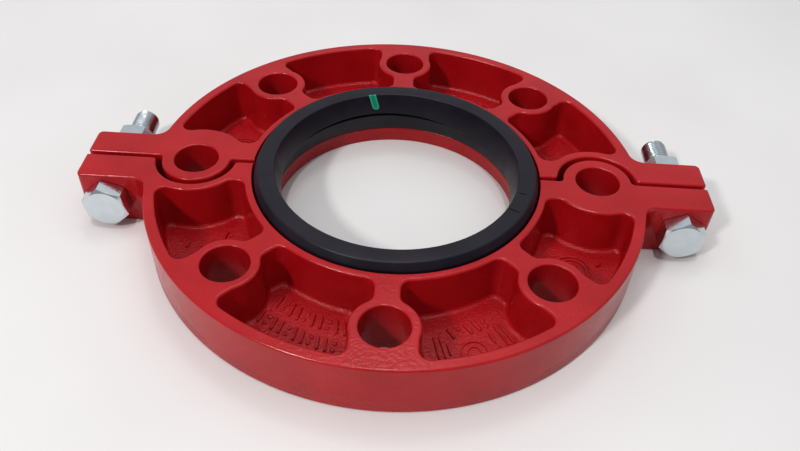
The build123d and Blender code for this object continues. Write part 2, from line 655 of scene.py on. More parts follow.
@dataclass(frozen=True)
class RedEnamel:
    """Glossy red enamel over a sand-cast surface, which stays rough on the pocket floors."""

    deep: tuple[float, float, float] = (0.34, 0.006, 0.010)
    bright: tuple[float, float, float] = (0.41, 0.010, 0.015)
    roughness: tuple[float, float] = (0.15, 0.26)
    specular: float = 0.43
    rough_below_mm: float = 6.0
    peel_mm: float = 0.20
    grain_mm: float = 0.45

    def material(self) -> bpy.types.Material:
        """Build the finish.

        Returns:
            The node material.
        """
        board = NodeBoard("red_enamel")
        shader = board.shader
        height = board.axes()[2]
        on_floor = board.ramp(height, (self.rough_below_mm + 1) * MM, self.rough_below_mm * MM)
        off_back = board.ramp(height, 0.5 * MM, 3 * MM)
        rough_cast = board.math("MULTIPLY", on_floor, off_back)
        tint = board.ramp(board.noise(scale=38, detail=4, roughness=0.6), 0.35, 0.65)
        colour = board.blend(tint, self.deep, self.bright)
        board.link(colour, shader.inputs["Base Color"])
        gloss = board.ramp(board.noise(scale=120, detail=3, roughness=0.6), 0.3, 0.7, *self.roughness)
        board.link(gloss, shader.inputs["Roughness"])
        shader.inputs["Specular IOR Level"].default_value = self.specular
        peel = board.bump(board.noise(scale=620, detail=3, roughness=0.55), self.peel_mm, strength=0.75)
        grain = board.bump(board.noise(scale=950, detail=3, roughness=0.6), self.grain_mm,
                           board.ramp(rough_cast, 0.0, 1.0, 0.12, 1.0), peel)
        board.link(grain, shader.inputs["Normal"])
        return board.material


@dataclass(frozen=True)
class PaintStripe:
    """A short daub of paint down the inside of the gasket's upper lip.

    Attributes:
        colour: Colour of its core.
        rim_colour: Colour of its thinner rim.
        angle_deg: Direction of the daub from the pipe axis.
        width: Its width, in millimetres.
        lower_end: Height of its lower end.
        slant: How far it moves sideways for each millimetre of height.
        ragged: How uneven its edge is.
        edge: Half the width over which it fades out.
    """

    colour: tuple[float, float, float] = (0.0, 0.235, 0.13)
    rim_colour: tuple[float, float, float] = (0.035, 0.34, 0.22)
    angle_deg: float = 103.7
    width: float = 3.7
    lower_end: float = 21.4
    slant: float = -0.25
    ragged: float = 0.25
    edge: float = 0.12


@dataclass(frozen=True)
class BlackRubber:
    """Moulded black rubber with a grey bloom, and the sorter's paint stripe."""

    black: tuple[float, float, float] = (0.007, 0.0055, 0.013)
    bloom: tuple[float, float, float] = (0.016, 0.013, 0.021)
    roughness: tuple[float, float] = (0.34, 0.46)
    specular: float = 0.36
    stripe: PaintStripe = PaintStripe()
    lip_radius: float = 54.2

    def _stripe_masks(self, board: NodeBoard) -> tuple[bpy.types.NodeSocket, bpy.types.NodeSocket]:
        """Masks of the paint stripe, which has a round lower end.

        Args:
            board: The node board of the rubber.

        Returns:
            The mask of the whole stripe and the mask of its core.
        """
        stripe = self.stripe
        across, deep, height = board.axes()
        turn = polar(1.0, stripe.angle_deg)
        along = board.math("ADD", board.math("MULTIPLY", across, -turn.y),
                           board.math("MULTIPLY", deep, turn.x))
        drop = board.math("MULTIPLY", board.math("SUBTRACT", height, stripe.lower_end * MM),
                          stripe.slant)
        along = board.math("ADD", along, drop)
        below = board.math("MINIMUM", board.math(
            "SUBTRACT", height, (stripe.lower_end + stripe.width / 2) * MM), 0.0)
        reach = board.math("SQRT", board.math("ADD", board.math("MULTIPLY", along, along),
                                              board.math("MULTIPLY", below, below)))
        reach = board.math("ADD", reach, board.math(
            "MULTIPLY", board.noise(scale=900, detail=2), stripe.ragged * MM))
        outwards = board.math("ADD", board.math("MULTIPLY", across, turn.x),
                              board.math("MULTIPLY", deep, turn.y))
        near_side = board.ramp(outwards, 0.0, 0.001)
        radius = board.math("SQRT", board.math("ADD", board.math("MULTIPLY", across, across),
                                               board.math("MULTIPLY", deep, deep)))
        on_lip = board.ramp(radius, (self.lip_radius + 0.7) * MM, (self.lip_radius + 0.5) * MM)
        here = board.math("MULTIPLY", near_side, on_lip)
        half, edge = stripe.width / 2 * MM, stripe.edge * MM
        whole = board.math("MULTIPLY", board.ramp(reach, half + edge, half - edge), here)
        core = board.ramp(reach, half - 5 * edge, half - 8 * edge)
        return whole, core

    def material(self) -> bpy.types.Material:
        """Build the finish.

        Returns:
            The node material.
        """
        board = NodeBoard("black_rubber")
        shader = board.shader
        cloud = board.ramp(board.noise(scale=45, detail=4, roughness=0.6), 0.35, 0.7)
        colour = board.blend(cloud, self.black, self.bloom)
        whole, core = self._stripe_masks(board)
        paint = board.blend(core, self.stripe.rim_colour, self.stripe.colour)
        board.link(board.blend(whole, colour, paint), shader.inputs["Base Color"])
        rough = board.ramp(board.noise(scale=160, detail=3, roughness=0.6), 0.3, 0.7, *self.roughness)
        board.link(rough, shader.inputs["Roughness"])
        shader.inputs["Specular IOR Level"].default_value = self.specular
        skin = board.bump(board.noise(scale=700, detail=3, roughness=0.55), depth_mm=0.05, strength=0.35)
        wave = board.bump(board.noise(scale=60, detail=2), depth_mm=0.5, strength=0.12, under=skin)
        board.link(wave, shader.inputs["Normal"])
        return board.material


@dataclass(frozen=True)
class ZincPlate:
    """Bright zinc plating on steel, slightly blue, with fine handling marks."""

    clean: tuple[float, float, float] = (0.66, 0.72, 0.75)
    dull: tuple[float, float, float] = (0.61, 0.665, 0.695)
    roughness: tuple[float, float] = (0.15, 0.27)

    def material(self) -> bpy.types.Material:
        """Build the finish.

        Returns:
            The node material.
        """
        board = NodeBoard("zinc_plate")
        shader = board.shader
        cloud = board.ramp(board.noise(scale=240, detail=4, roughness=0.6), 0.35, 0.7)
        colour = board.blend(cloud, self.clean, self.dull)
        board.link(colour, shader.inputs["Base Color"])
        shader.inputs["Metallic"].default_value = 1.0
        rough = board.ramp(board.noise(scale=500, detail=3, roughness=0.6), 0.3, 0.7, *self.roughness)
        board.link(rough, shader.inputs["Roughness"])
        marks = board.bump(board.noise(scale=1500, detail=2), depth_mm=0.012, strength=0.35)
        board.link(marks, shader.inputs["Normal"])
        return board.material


@dataclass(frozen=True)
class PaleTable:
    """The plain pale surface that the adapter stands on."""

    light: tuple[float, float, float] = (0.73, 0.715, 0.71)
    shade: tuple[float, float, float] = (0.69, 0.675, 0.67)

    def material(self) -> bpy.types.Material:
        """Build the finish.

        Returns:
            The node material.
        """
        board = NodeBoard("pale_table")
        tint = board.ramp(board.noise(scale=7), 0.35, 0.65)
        board.link(board.blend(tint, self.light, self.shade), board.shader.inputs["Base Color"])
        board.shader.inputs["Roughness"].default_value = 0.55
        return board.material


# ---------------------------------------------------------------- castings


class MarkKind(Enum):
    """The plain raised shapes that stand on a pocket floor."""

    BAR = "bar"
    RING = "ring"
    DOT = "dot"


@dataclass(frozen=True)
class CastMark:
    """One raised mark on a pocket floor, placed by radius and angle.

    Attributes:
        kind: Its shape.
        radius: Distance from the pipe axis, in millimetres.
        angle_deg: Direction from the pipe axis.
        length: Length of a bar, or outer diameter of a ring or a dot.
        lean_deg: Turn of a bar away from the radial direction.
        width: Width of the stroke.
        rise: Height above the floor.
    """

    kind: MarkKind
    radius: float
    angle_deg: float
    length: float
    lean_deg: float = 0.0
    width: float = 1.2
    rise: float = 0.75


@dataclass(frozen=True)
class Boss:
    """Metal round one flange hole: a disc with a web to each pocket wall.

    Attributes:
        angle_deg: Direction of the hole from the pipe axis.
        disc_radius: Radius of the disc.
        inner_half_web: Half the width of the web towards the pipe.
        outer_half_web: Half the width of the web towards the rim.
    """

    angle_deg: float
    disc_radius: float = 13.8
    inner_half_web: float = 5.3
    outer_half_web: float = 13.0


@dataclass
class CastHalf:
    """One half of the flange, in the place of the front half.

    The half carries the split-line hole at +X in a round lobe, and leaves a round recess
    for the other half's lobe at -X. Split_boss is a Boss's disc and webs at the split line,
    and past is how far each cutter reaches past the face that it opens.
    """

    height: float = 25.4
    flange_radius: float = 110.0
    split_gap: float = 2.0
    rim_round: float = 1.1
    bolt_circle: float = 90.0
    hole_radius: float = 9.7
    hole_lip: float = 0.8
    hole_pitch_deg: float = 45.0
    lobe_radius: float = 15.3
    recess_radius: float = 17.7
    lobe_root_round: float = 2.0
    split_boss: tuple[float, float, float] = (22.0, 13.5, 20.8)
    pocket_floor: float = 4.0
    pocket_inner: float = 67.3
    pocket_outer: float = 105.0
    pocket_corner: float = 4.0
    pocket_foot: float = 2.0
    pocket_lip: float = 1.2
    pocket_draft_deg: float = 2.0
    ear_end: float = 139.0
    ear_depth: float = 16.0
    ear_corner: float = 2.5
    ear_root: float = 6.0
    key_radius: float = 55.5
    key_height: float = 8.0
    key_lip: float = 0.8
    seat_radius: float = 64.1
    seat_lip: float = 0.4
    draw_hole_radius: float = 7.0
    draw_hole_lip: float = 0.6
    draw_bolt_x: float = 126.5
    past: float = 2.0
    hole_steps: int = 72
    bore_steps: int = 288
    ring_steps: int = 40
    smooth_deg: float = 32.0
    marks: list[CastMark] = field(default_factory=list)

    def outline(self) -> Outline:
        """Plan of the front half.

        Returns:
            The outline, walked anticlockwise with the metal on the left.
        """
        split = -self.split_gap / 2
        lobe, recess = Vector((self.bolt_circle, 0)), Vector((-self.bolt_circle, 0))
        rim = Vector((0, 0))
        ear_x = math.sqrt(self.flange_radius ** 2 - self.ear_depth ** 2)
        end, deep = self.ear_end, -self.ear_depth
        walls = [
            Wall(rim, radius=self.flange_radius),
            Wall(Vector((end, deep)), 0.0),
            Wall(Vector((end, 0)), 90.0),
            Wall(Vector((0, split)), 180.0),
            Wall(lobe, radius=self.lobe_radius),
            Wall(Vector((0, split)), 180.0),
            Wall(recess, radius=self.recess_radius, turn=-1),
            Wall(Vector((0, split)), 180.0),
            Wall(Vector((-end, 0)), 270.0),
            Wall(Vector((0, deep)), 0.0),
        ]
        root, corner, lobe_root = self.ear_root, self.ear_corner, self.lobe_root_round
        corners = [
            Corner(Vector((ear_x + root, deep - root)), root, False),
            Corner(Vector((end, deep)), corner),
            Corner(Vector((end, split)), corner * 0.5),
            Corner(Vector((lobe.x + self.lobe_radius + lobe_root, split)), lobe_root, False),
            Corner(Vector((lobe.x - self.lobe_radius - lobe_root, split)), lobe_root, False),
            Corner(Vector((recess.x + self.recess_radius, split)), lobe_root),
            Corner(Vector((recess.x - self.recess_radius, split)), lobe_root),
            Corner(Vector((-end, split)), corner * 0.5),
            Corner(Vector((-end, deep)), corner),
            Corner(Vector((-ear_x - root, deep - root)), root, False),
        ]
        return Outline(walls, corners)

    def bosses(self) -> list[Boss]:
        """The bosses beside this half's pockets.

        Returns:
            The bosses in the order of their angles.
        """
        first, last = 180.0, 360.0
        found = [Boss(first, *self.split_boss)]
        angle = first + self.hole_pitch_deg
        while angle < last:
            found.append(Boss(angle))
            angle += self.hole_pitch_deg
        found.append(Boss(last, *self.split_boss))
        return found

    def pocket_outline(self, left: Boss, right: Boss) -> Outline:
        """Plan of the pocket between two bosses, walked with the pocket on the left.

        Args:
            left: The boss at the smaller angle.
            right: The boss at the larger angle.

        Returns:
            The pocket's outline at the top face.
        """
        corner = self.pocket_corner

        def spot(boss: Boss, along: float, across: float) -> Vector:
            """A point in a boss's own axes, along its radius and across it."""
            outward, side = polar(1, boss.angle_deg), polar(1, boss.angle_deg + 90)
            return outward * along + side * across

        def reach(boss: Boss, across: float) -> float:
            """How far the boss's disc reaches along its radius at a width."""
            return math.sqrt(boss.disc_radius ** 2 - across ** 2)

        def sides(boss: Boss, side: int) -> tuple[list[Wall], list[Corner]]:
            """Outer web, disc and inner web of a boss, and the corners before each."""
            outer, inner = boss.outer_half_web, boss.inner_half_web
            heading = boss.angle_deg + 180
            walls = [
                Wall(spot(boss, self.bolt_circle, side * outer), heading),
                Wall(spot(boss, self.bolt_circle, 0), radius=boss.disc_radius, turn=-1),
                Wall(spot(boss, self.bolt_circle, side * inner), heading),
            ]
            rim_reach = math.sqrt(self.pocket_outer ** 2 - outer ** 2)
            corners = [
                Corner(spot(boss, rim_reach - corner, side * (outer + corner)), corner),
                Corner(spot(boss, self.bolt_circle + reach(boss, outer) + corner,
                            side * (outer + corner)), corner),
                Corner(spot(boss, self.bolt_circle - reach(boss, inner) - corner,
                            side * (inner + corner)), corner),
            ]
            return walls, corners

        right_walls, right_corners = sides(right, -1)
        left_walls, left_corners = sides(left, 1)
        left_walls = [Wall(w.point, w.heading_deg + 180) if w.is_line else w for w in left_walls][::-1]

        def inner_corner(boss: Boss, side: int) -> Corner:
            """Corner between a boss's inner web and the pocket's inner wall."""
            across = boss.inner_half_web + corner
            return Corner(spot(boss, self.pocket_inner + corner, side * across), corner)

        hub = Vector((0, 0))
        walls = [Wall(hub, radius=self.pocket_outer), *right_walls,
                 Wall(hub, radius=self.pocket_inner, turn=-1), *left_walls]
        corners = [*right_corners, inner_corner(right, -1), inner_corner(left, 1), *left_corners[::-1]]
        return Outline(walls, corners)

    def pocket_levels(self) -> list[Level]:
        """Rings of a pocket's cutter: floor, foot rounding, drafted wall, lip, and mouth.

        Returns:
            The rings from the floor up.
        """
        slope = math.tan(math.radians(self.pocket_draft_deg))
        foot_inset = slope * (self.height - self.pocket_floor)
        foot = [Level(foot_inset + level.inset, level.height)
                for level in rounded_rim(self.pocket_foot, self.pocket_floor, False)]
        lip = [Level(-level.inset, level.height)
               for level in rounded_rim(self.pocket_lip, self.height, True)]
        mouth = Level(-self.pocket_lip, self.height + self.past)
        return foot + lip + [mouth]

    def hole_cutter(self, radius: float, length: float, lip: float) -> bpy.types.Object:
        """A round cutter with a flared lip at both ends, standing on z = 0.

        Args:
            radius: Radius of the hole.
            length: Distance between the two faces that it opens.
            lip: Radius of the rounding at each face.

        Returns:
            The cutter, reaching past both faces.
        """
        clear = 0.02  # starts each rounding just inside its face, so that no ring lies in the face
        rise = [(radius + level.inset, level.height) for level in rounded_rim(lip, clear, False)]
        fall = [(radius + level.inset, level.height)
                for level in rounded_rim(lip, length - clear, True)]
        low, high = -self.past, length + self.past
        section = [(0.0, low), (radius + lip, low), *rise, *fall, (radius + lip, high), (0.0, high)]
        return spun("hole_cutter", section, self.hole_steps)

    def bore_cutter(self) -> bpy.types.Object:
        """The pipe bore: the key's bore, the gasket seat above it, and rounded edges.

        Returns:
            The cutter, reaching past both faces.
        """
        key, seat, ledge = self.key_radius, self.seat_radius, self.key_height
        foot = [(key + level.inset, level.height) for level in rounded_rim(self.key_lip, 0.0, False)]
        brow = [(key + level.inset, level.height) for level in rounded_rim(self.key_lip, ledge, True)]
        mouth = [(seat + level.inset, level.height)
                 for level in rounded_rim(self.seat_lip, self.height, True)]
        corner, bulge = 1.2, 0.35
        low, high = -self.past, self.height + self.past
        section = [(0.0, low), (key + self.key_lip, low), *foot, *brow, (seat - corner, ledge),
                   (seat - bulge, ledge + bulge), (seat, ledge + corner), *mouth,
                   (seat + self.seat_lip, high), (0.0, high)]
        return spun("bore_cutter", section, self.bore_steps)

    def raised_bar(self, mark: CastMark) -> bpy.types.Object:
        """A bar with soft edges, or a low dome for a dot, with its foot in the pocket floor.

        Args:
            mark: The bar or the dot.

        Returns:
            The closed mesh of the mark.
        """
        sunk, foot, flatness, softness = 0.1, 0.6, 1.2, 0.4
        spot = polar(mark.radius, mark.angle_deg)
        place = (spot.x * MM, spot.y * MM, (self.pocket_floor + mark.rise / 2 - sunk) * MM)
        deselect_everything()
        if mark.kind is MarkKind.DOT:
            bpy.ops.mesh.primitive_uv_sphere_add(
                segments=16, ring_count=8, radius=mark.length / 2 * MM, location=place)
            piece = bpy.context.object
            piece.scale = (1, 1, mark.rise * flatness / mark.length)
        else:
            turn = math.radians(mark.angle_deg + mark.lean_deg)
            bpy.ops.mesh.primitive_cube_add(size=1.0, location=place, rotation=(0, 0, turn))
            piece = bpy.context.object
            piece.scale = (mark.length * MM, mark.width * MM, (mark.rise + foot) * MM)
            place_in_mesh(piece)
            bevel = piece.modifiers.new("soft", "BEVEL")
            bevel.width = mark.width * softness * MM
            bevel.segments = 3
            bpy.ops.object.modifier_apply(modifier=bevel.name)
        place_in_mesh(piece)
        return piece

    def raise_ring(self, half: bpy.types.Object, mark: CastMark) -> None:
        """Raise a ring on the pocket floor: a round pad, then its middle taken out again.

        Args:
            half: The casting that it stands on.
            mark: The ring.
        """
        floor, top = self.pocket_floor, self.pocket_floor + mark.rise
        outer, inner = mark.length / 2, mark.length / 2 - mark.width
        soft = mark.width * 0.3
        bulge = soft * 0.3
        root, left_over, above = 0.4, 0.02, 1.0
        pad = spun("ring_pad", [
            (0.0, floor - root), (outer, floor - root), (outer, top - soft),
            (outer - bulge, top - bulge), (outer - soft, top), (0.0, top)], self.ring_steps)
        middle = spun("ring_middle", [
            (0.0, floor + left_over), (inner, floor + left_over), (inner, top - soft),
            (inner + bulge, top - bulge), (inner + soft, top),
            (inner + soft, top + above), (0.0, top + above)], self.ring_steps)
        spot = polar(mark.radius, mark.angle_deg) * MM
        for piece, cut in ((pad, Cut.ADD), (middle, Cut.TAKE_AWAY)):
            piece.location = (spot.x, spot.y, 0)
            place_in_mesh(piece)
            boolean(half, piece, cut)

    def raise_marks(self, half: bpy.types.Object) -> None:
        """Raise every mark on the pocket floors.

        Args:
            half: The casting that they stand on.
        """
        for mark in self.marks:
            if mark.kind is MarkKind.RING:
                self.raise_ring(half, mark)
            else:
                boolean(half, self.raised_bar(mark), Cut.ADD)

    def draw_hole_cutters(self) -> list[bpy.types.Object]:
        """Cutters for the draw-bolt holes through both ears.

        Returns:
            The two cutters, in place along Y.
        """
        cutters = []
        for side in (-1, 1):
            cutter = self.hole_cutter(
                self.draw_hole_radius, self.ear_depth - self.split_gap / 2, self.draw_hole_lip)
            cutter.rotation_euler = (math.radians(-90), 0, 0)
            cutter.location = Vector((side * self.draw_bolt_x, -self.ear_depth, self.height / 2)) * MM
            place_in_mesh(cutter)
            cutters.append(cutter)
        return cutters

    def build(self, name: str) -> bpy.types.Object:
        """Model the half in the place of the front half.

        Args:
            name: Name of the new piece.

        Returns:
            The finished half.
        """
        rim = self.rim_round
        levels = rounded_rim(rim, 0.0, False) + rounded_rim(rim, self.height, True)
        half = extruded(name, self.outline(), levels)
        bosses = self.bosses()
        for left, right in zip(bosses, bosses[1:]):
            boolean(half, extruded("pocket_cutter", self.pocket_outline(left, right),
                                   self.pocket_levels()), Cut.TAKE_AWAY)
        self.raise_marks(half)
        boolean(half, self.bore_cutter(), Cut.TAKE_AWAY)
        for boss in bosses[1:]:
            cutter = self.hole_cutter(self.hole_radius, self.height, self.hole_lip)
            spot = polar(self.bolt_circle, boss.angle_deg)
            cutter.location = (spot.x * MM, spot.y * MM, 0)
            place_in_mesh(cutter)
            boolean(half, cutter, Cut.TAKE_AWAY)
        for cutter in self.draw_hole_cutters():
            boolean(half, cutter, Cut.TAKE_AWAY)
        merge_and_face_out(half)
        return half

    def turned(self, half: bpy.types.Object, name: str) -> bpy.types.Object:
        """A copy of a half with its own mesh, turned half a turn about the pipe axis.

        Args:
            half: The half to copy.
            name: Name of the copy.

        Returns:
            The turned copy.
        """
        copy = half.copy()
        copy.data = half.data.copy()
        bpy.context.collection.objects.link(copy)
        copy.name = name
        copy.rotation_euler = (0, 0, math.pi)
        place_in_mesh(copy)
        return copy


# ---------------------------------------------------------------- gasket


@dataclass(frozen=True)
class Sag:
    """How far soft lips rest out of line round one direction, in millimetres.

    Attributes:
        angle_deg: The direction in which the lips are furthest out of line.
        half_width_deg: Angle over which they come back into line, on either side.
        upper_out: How far the upper lip's edge moves outwards.
        upper_down: How far it moves down.
        lower_out: How far the lower lip's edge moves outwards.
        lower_down: How far it moves down.
    """

    angle_deg: float
    half_width_deg: float
    upper_out: float
    upper_down: float
    lower_out: float
    lower_down: float

    def share(self, angle_deg: float) -> float:
        """Share of the sag in a direction.

        Args:
            angle_deg: The direction.

        Returns:
            1 in the sag's middle, 0 beyond its width.
        """
        off = (angle_deg - self.angle_deg + 180) % 360 - 180
        if abs(off) > self.half_width_deg:
            return 0.0
        return 0.5 + 0.5 * math.cos(math.pi * off / self.half_width_deg)


@dataclass
class Gasket:
    """The rubber ring: two lips that open inwards, with a pressure cavity between them.

    Each nick is the radius, direction and length of a small cut in the upper lip.
    """

    foot: float = 8.0
    flush: float = 25.4
    top: float = 29.0
    seat_radius: float = 63.7
    shoulder_radius: float = 63.2
    rim_radius: float = 61.4
    lip_root_radius: float = 54.2
    lip_edge_radius: float = 52.0
    slit_top: float = 19.2
    slit_foot: float = 17.8
    lower_edge_radius: float = 52.6
    lower_root_radius: float = 55.2
    cavity_radius: float = 60.2
    sags: tuple[Sag, ...] = (
        Sag(168.0, 60.0, upper_out=-0.7, upper_down=0.4, lower_out=1.5, lower_down=1.6),
        Sag(25.0, 80.0, upper_out=-0.5, upper_down=3.6, lower_out=2.4, lower_down=5.0))
    nicks: tuple[tuple[float, float, float], ...] = ((57.1, -16.4, 2.2), (56.9, -28.4, 3.4))
    nick_width: float = 0.42
    steps: int = 288
    smooth_deg: float = 35.0

    def section(self) -> list[tuple[float, float]]:
        """The rubber's section, walked anticlockwise from the lower lip.

        Returns:
            The section as (radius, height) points.
        """
        inward = 2.6
        return rounded_section([
            (self.lower_edge_radius, self.slit_foot, 0.35),
            (self.lower_root_radius, self.foot, 0.6),
            (self.seat_radius, self.foot, 0.9),
            (self.seat_radius, self.flush - 2.6, 1.5),
            (self.shoulder_radius, self.flush + 0.3, 2.0),
            (self.rim_radius, self.top, 1.1),
            (self.lip_root_radius, self.top, 0.5),
            (self.lip_edge_radius, self.slit_top, 0.3),
            (self.lip_edge_radius + inward, self.slit_top + 0.25, 0.6),
            (self.cavity_radius, self.slit_top + 0.8, 0.8),
            (self.cavity_radius, self.slit_foot - 1.0, 0.8),
            (self.lower_edge_radius + inward, self.slit_foot - 0.5, 0.6),
        ])

    def let_lips_sag(self, ring: bpy.types.Object) -> None:
        """Move the edges of both lips out of line, as soft rubber rests.

        Args:
            ring: The spun gasket.
        """
        middle = (self.slit_top + self.slit_foot) / 2
        reach = self.cavity_radius - self.lower_edge_radius
        for vertex in ring.data.vertices:
            place = vertex.co / MM
            radius = math.hypot(place.x, place.y)
            angle = math.degrees(math.atan2(place.y, place.x))
            if not self.slit_foot - 2 < place.z < self.slit_top + 2 or radius > self.cavity_radius - 1:
                continue
            near_edge = min(1.0, (self.cavity_radius - radius) / reach)
            for sag in self.sags:
                share = sag.share(angle) * near_edge
                upper = place.z > middle
                out = (sag.upper_out if upper else sag.lower_out) * share
                grown = (radius + out) / radius
                vertex.co.x *= grown
                vertex.co.y *= grown
                vertex.co.z -= (sag.upper_down if upper else sag.lower_down) * share * MM

    def nick_cutter(self, radius: float, angle_deg: float, length: float) -> bpy.types.Object:
        """A thin radial blade that nicks the top of the rubber.

        Args:
            radius: Distance of the nick from the pipe axis.
            angle_deg: Its direction.
            length: Its length across the rubber.

        Returns:
            The blade.
        """
        spot = polar(radius, angle_deg) * MM
        deselect_everything()
        bpy.ops.mesh.primitive_cylinder_add(
            vertices=48, radius=length * 1.3 * MM, depth=self.nick_width * MM,
            location=(spot.x, spot.y, (self.top + length) * MM),
            rotation=(math.pi / 2, 0, math.radians(angle_deg)))
        blade = bpy.context.object
        place_in_mesh(blade)
        return blade

    def build(self, name: str) -> bpy.types.Object:
        """Model the gasket by spinning its section, with its small nicks and its sag.

        Args:
            name: Name of the new piece.

        Returns:
            The finished gasket.
        """
        ring = spun(name, self.section(), self.steps)
        self.let_lips_sag(ring)
        for nick in self.nicks:
            boolean(ring, self.nick_cutter(*nick), Cut.TAKE_AWAY)
        merge_and_face_out(ring)
        activate(ring)
        bpy.ops.object.shade_smooth_by_angle(angle=math.radians(self.smooth_deg))
        return ring


# ---------------------------------------------------------------- fasteners


@dataclass
class DrawFastener:
    """One M12 draw bolt with its nut. Local Z runs along the bolt, from head to tip.

    The hexagons are turned down to a circle of crown_share of their flats, by crown_drop at
    their corners. The washer face under the head stands washer_rise proud of it.
    """

    across_flats: float = 18.0
    edge_round: float = 0.25
    crown_share: float = 0.955
    crown_drop: float = 1.15
    crown_slope_deg: float = 30.0
    washer_share: float = 0.94
    washer_rise: float = 0.2
    washer_root: float = 0.5
    head_height: float = 7.5
    nut_height: float = 10.8
    length: float = 60.0
    major_radius: float = 5.92
    root_radius: float = 4.95
    pitch: float = 1.75
    thread_length: float = 36.0
    tip_chamfer: float = 1.3
    samples_per_pitch: int = 8
    segments: int = 56
    nut_clearance: float = 0.09
    crest_share: float = 0.16
    flank_share: float = 0.72
    mouth_flare: float = 0.7
    round_steps: int = 72
    crown_steps: int = 96
    smooth_deg: float = 30.0

    def hexagon(self, name: str, height: float, both_ends: bool) -> bpy.types.Object:
        """A hexagon with its corners turned down to a circle.

        Args:
            name: Name of the new piece.
            height: Its height, standing on z = 0.
            both_ends: True for a nut, which is turned down at both ends.

        Returns:
            The hexagon, a corner towards +X.
        """
        deselect_everything()
        corner = self.across_flats / math.sqrt(3)
        bpy.ops.mesh.primitive_cylinder_add(
            vertices=6, radius=corner * MM, depth=height * MM, location=(0, 0, height / 2 * MM),
            rotation=(0, 0, math.radians(30)))
        piece = bpy.context.object
        piece.name = name
        place_in_mesh(piece)
        bevel = piece.modifiers.new("soft edges", "BEVEL")
        bevel.width = self.edge_round * MM
        bevel.segments = 3
        bpy.ops.object.modifier_apply(modifier=bevel.name)
        drop, circle = self.crown_drop, self.across_flats / 2 * self.crown_share
        wide = circle + drop / math.tan(math.radians(self.crown_slope_deg))
        crown = [(wide, height - drop), (circle, height), (0.0, height)]
        base = [(0.0, 0.0), (circle, 0.0), (wide, drop)] if both_ends else [(0.0, 0.0), (wide, 0.0)]
        turned = spun("turned_blank", base + crown, self.crown_steps)
        boolean(piece, turned, Cut.KEEP_COMMON)
        return piece

    def thread_radius(self, along: float, angle: float, start: float, extra: float = 0.0) -> float:
        """Radius of the right-hand thread at a place on the shank.

        Args:
            along: Distance from the underside of the head.
            angle: Angle about the bolt's axis, by the right-hand rule.
            start: Where the thread begins.
            extra: Added all over, for the nut's bore.

        Returns:
            The radius in millimetres.
        """
        phase = (along / self.pitch - angle / FULL_TURN) % 1.0
        flank = abs(2 * phase - 1)
        shape = min(1.0, max(0.0, (flank - self.crest_share) / self.flank_share))
        run_out = min(1.0, max(0.0, (along - start) / self.pitch))
        depth = (self.major_radius - self.root_radius) * (1 - shape) * run_out
        return self.major_radius - depth + extra

    def threaded_rod(self, name: str, first: float, last: float, start: float,
                     extra: float = 0.0, tip: float = 0.0) -> bpy.types.Object:
        """A rod with a helical thread cut into it.

        Args:
            name: Name of the new piece.
            first: Where the rod begins, from the underside of the head.
            last: Where it ends.
            start: Where the thread begins.
            extra: Added to the radius, for a nut's bore.
            tip: Chamfer at the rod's end.

        Returns:
            The rod along +Z, closed at both ends.
        """
        step = self.pitch / self.samples_per_pitch
        threaded_from = max(first, start)
        heights = [first] if start > first else []
        count = max(1, round((last - threaded_from) / step))
        heights += [threaded_from + (last - threaded_from) * i / count for i in range(count + 1)]
        rings = []
        for along in heights:
            cap = self.major_radius + extra
            if tip:
                cap = min(cap, self.major_radius - tip + max(0.0, last - along))
            ring = []
            for i in range(self.segments):
                angle = FULL_TURN * i / self.segments
                radius = min(cap, self.thread_radius(along, angle, start, extra))
                spot = polar(radius, math.degrees(angle))
                ring.append(Vector((spot.x, spot.y, along)))
            rings.append(ring)
        return stacked(name, rings)

    def washer_face(self) -> bpy.types.Object:
        """The thin round face under the bolt's head.

        Returns:
            The face as a short disc, which reaches from the head's base up to its root.
        """
        radius = self.across_flats / 2 * self.washer_share
        low, high = -self.washer_rise, self.washer_root
        return spun("washer_face", [(0.0, low), (radius, low), (radius, high), (0.0, high)],
                    self.round_steps)

    def build_bolt(self, name: str, head_turn_deg: float) -> bpy.types.Object:
        """Model the bolt, its head's underside at z = 0 and its shank along +Z.

        Args:
            name: Name of the new piece.
            head_turn_deg: Turn of its hexagon.

        Returns:
            The finished bolt, in its own axes.
        """
        head = self.hexagon(name, self.head_height - self.washer_rise, both_ends=False)
        head.rotation_euler = (math.pi, 0, math.radians(-head_turn_deg))
        head.location = (0, 0, -self.washer_rise * MM)
        place_in_mesh(head)
        face = self.washer_face()
        face.location = (0, 0, -self.washer_root * MM)
        place_in_mesh(face)
        boolean(head, face, Cut.ADD)
        start = self.length - self.thread_length
        inside_head = -1.0
        shank = self.threaded_rod("shank", inside_head, self.length, start, tip=self.tip_chamfer)
        boolean(head, shank, Cut.ADD)
        merge_and_face_out(head)
        return head

    def build_nut(self, name: str, seat: float, turn_deg: float) -> bpy.types.Object:
        """Model the nut in mesh with the bolt's thread.

        Args:
            name: Name of the new piece.
            seat: Where the nut's seat is, from the underside of the bolt's head.
            turn_deg: Turn of its hexagon.

        Returns:
            The nut, in the bolt's own axes.
        """
        nut = self.hexagon(name, self.nut_height, both_ends=True)
        nut.rotation_euler = (0, 0, math.radians(turn_deg))
        nut.location = (0, 0, seat * MM)
        place_in_mesh(nut)
        past = 1.0
        bore = self.threaded_rod("nut_bore", seat - past, seat + self.nut_height + past,
                                 self.length - self.thread_length, self.nut_clearance)
        boolean(nut, bore, Cut.TAKE_AWAY)
        mouths = self.mouth_cutter(seat)
        boolean(nut, mouths, Cut.TAKE_AWAY)
        merge_and_face_out(nut)
        return nut

